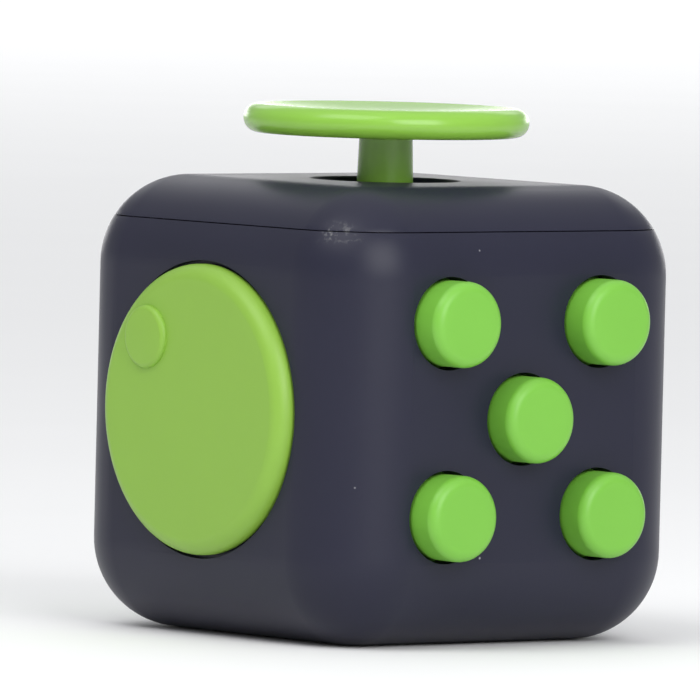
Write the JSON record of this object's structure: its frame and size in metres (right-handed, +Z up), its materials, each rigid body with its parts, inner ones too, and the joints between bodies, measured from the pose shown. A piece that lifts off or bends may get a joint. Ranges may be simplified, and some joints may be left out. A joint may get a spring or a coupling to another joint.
{
  "type": "fidget cube",
  "caption": "Palm-sized desk fidget cube with a rounded dark shell, green push buttons, a spinning dial and a joystick disc, and guessed rollers, ball, rocker and thumb dish.",
  "frame": {"origin": "centre of the cube's base plane, under the joystick's stem", "axes": "+Z up through the joystick; the push buttons face -Y, the dial -X, the rollers +X and the rocker switch +Y"},
  "size_m": [0.0365, 0.0376, 0.0384],
  "materials": {
    "body_plastic": "satin moulded plastic, dark slate",
    "dark_plastic": "plain moulded black plastic",
    "satin_green": "satin moulded plastic, leaf green",
    "gloss_green": "glossy moulded plastic, leaf green",
    "white_nylon": "natural white nylon",
    "screw_steel": "zinc-plated steel",
    "pin_steel": "ground steel",
    "spring_steel": "bright spring steel",
    "polished_steel": "polished bearing steel"
  },
  "bodies": {
    "shell": {"body_shell": "body_plastic", "top_cover": "body_plastic", "gimbal_ring_pins": "pin_steel", "gimbal_bracket": "dark_plastic", "gimbal_bracket_screws": "screw_steel", "joystick_return_spring": "spring_steel", "button_back_plate": "dark_plastic", "button_plate_screws": "screw_steel", "dial_detent_spring": "spring_steel", "detent_spring_screw": "screw_steel", "rocker_pin": "pin_steel", "rocker_frame": "body_plastic", "rocker_leaf_spring": "spring_steel", "rocker_frame_screws": "screw_steel", "roller_axle": "pin_steel", "roller_spacers": "white_nylon", "roller_carrier": "dark_plastic", "roller_detent_comb": "spring_steel", "roller_carrier_screws": "screw_steel", "ball_spring": "spring_steel", "ball_housing": "dark_plastic", "ball_housing_screws": "screw_steel", "button_spring_upper_left": "spring_steel", "button_spring_upper_right": "spring_steel", "button_spring_centre": "spring_steel", "button_spring_lower_left": "spring_steel", "button_spring_lower_right": "spring_steel", "snap_dome_upper_left": "spring_steel", "snap_dome_centre": "spring_steel", "snap_dome_lower_right": "spring_steel"},
    "gimbal": {"gimbal_ring": "white_nylon", "joystick_pins": "pin_steel"},
    "joystick": {"joystick_cap": "gloss_green", "joystick_dome": "dark_plastic", "joystick_hub": "dark_plastic", "joystick_screw": "screw_steel"},
    "dial": {"spin_dial": "satin_green", "dial_detent_wheel": "white_nylon", "dial_washer": "pin_steel", "dial_screw": "screw_steel"},
    "rocker": {"rocker_switch": "satin_green"},
    "gear_left": {"roller_gear_left": "satin_green"},
    "gear_middle": {"roller_gear_middle": "satin_green"},
    "gear_right": {"roller_gear_right": "satin_green"},
    "ball_cup": {"ball_cup": "dark_plastic"},
    "ball_race": {"ball_race": "white_nylon"},
    "ball": {"steel_ball": "polished_steel"},
    "button_upper_left": {"button_upper_left": "satin_green"},
    "button_upper_right": {"button_upper_right": "satin_green"},
    "button_centre": {"button_centre": "satin_green"},
    "button_lower_left": {"button_lower_left": "satin_green"},
    "button_lower_right": {"button_lower_right": "satin_green"}
  },
  "joints": [
    {"name": "joystick_tilt_y", "type": "hinge", "parent": "shell", "child": "gimbal", "pos_m": [0, 0, 0.026], "axis": [0, 1, 0], "range_deg": [-10, 10], "stiffness_Nm_per_rad": 0.03, "deforming": ["joystick_return_spring"]},
    {"name": "joystick_tilt_x", "type": "hinge", "parent": "gimbal", "child": "joystick", "pos_m": [0, 0, 0.026], "axis": [1, 0, 0], "range_deg": [-10, 10], "stiffness_Nm_per_rad": 0.03},
    {"name": "press_upper_left", "type": "slide", "parent": "shell", "child": "button_upper_left", "axis": [0, 1, 0], "range_m": [0, 0.001], "stiffness_N_per_m": 400, "deforming": ["button_spring_upper_left", "snap_dome_upper_left"]},
    {"name": "press_upper_right", "type": "slide", "parent": "shell", "child": "button_upper_right", "axis": [0, 1, 0], "range_m": [0, 0.001], "stiffness_N_per_m": 400, "deforming": ["button_spring_upper_right"]},
    {"name": "press_centre", "type": "slide", "parent": "shell", "child": "button_centre", "axis": [0, 1, 0], "range_m": [0, 0.001], "stiffness_N_per_m": 400, "deforming": ["button_spring_centre", "snap_dome_centre"]},
    {"name": "press_lower_left", "type": "slide", "parent": "shell", "child": "button_lower_left", "axis": [0, 1, 0], "range_m": [0, 0.001], "stiffness_N_per_m": 400, "deforming": ["button_spring_lower_left"]},
    {"name": "press_lower_right", "type": "slide", "parent": "shell", "child": "button_lower_right", "axis": [0, 1, 0], "range_m": [0, 0.001], "stiffness_N_per_m": 400, "deforming": ["button_spring_lower_right", "snap_dome_lower_right"]},
    {"name": "dial_spin", "type": "hinge", "parent": "shell", "child": "dial", "pos_m": [-0.0165, 0, 0.0165], "axis": [-1, 0, 0], "continuous": true, "deforming": ["dial_detent_spring"]},
    {"name": "rocker_flip", "type": "hinge", "parent": "shell", "child": "rocker", "pos_m": [0, 0.0139, 0.0165], "axis": [1, 0, 0], "range_deg": [0, 18], "deforming": ["rocker_leaf_spring"]},
    {"name": "gear_spin_left", "type": "hinge", "parent": "shell", "child": "gear_left", "pos_m": [0.0137, -0.0031, 0.02335], "axis": [0, 1, 0], "continuous": true},
    {"name": "gear_spin_middle", "type": "hinge", "parent": "shell", "child": "gear_middle", "pos_m": [0.0137, 0, 0.02335], "axis": [0, 1, 0], "continuous": true, "deforming": ["roller_detent_comb"]},
    {"name": "gear_spin_right", "type": "hinge", "parent": "shell", "child": "gear_right", "pos_m": [0.0137, 0.0031, 0.02335], "axis": [0, 1, 0], "continuous": true},
    {"name": "ball_press", "type": "slide", "parent": "shell", "child": "ball_cup", "axis": [-1, 0, 0], "range_m": [0, 0.0006], "stiffness_N_per_m": 500, "deforming": ["ball_spring"]},
    {"name": "ball_turn", "type": "hinge", "parent": "ball_cup", "child": "ball_race", "pos_m": [0.0145, 0, 0.01195], "axis": [1, 0, 0], "continuous": true},
    {"name": "ball_roll", "type": "hinge", "parent": "ball_race", "child": "ball", "pos_m": [0.0145, 0, 0.01195], "axis": [0, 1, 0], "continuous": true}
  ]
}
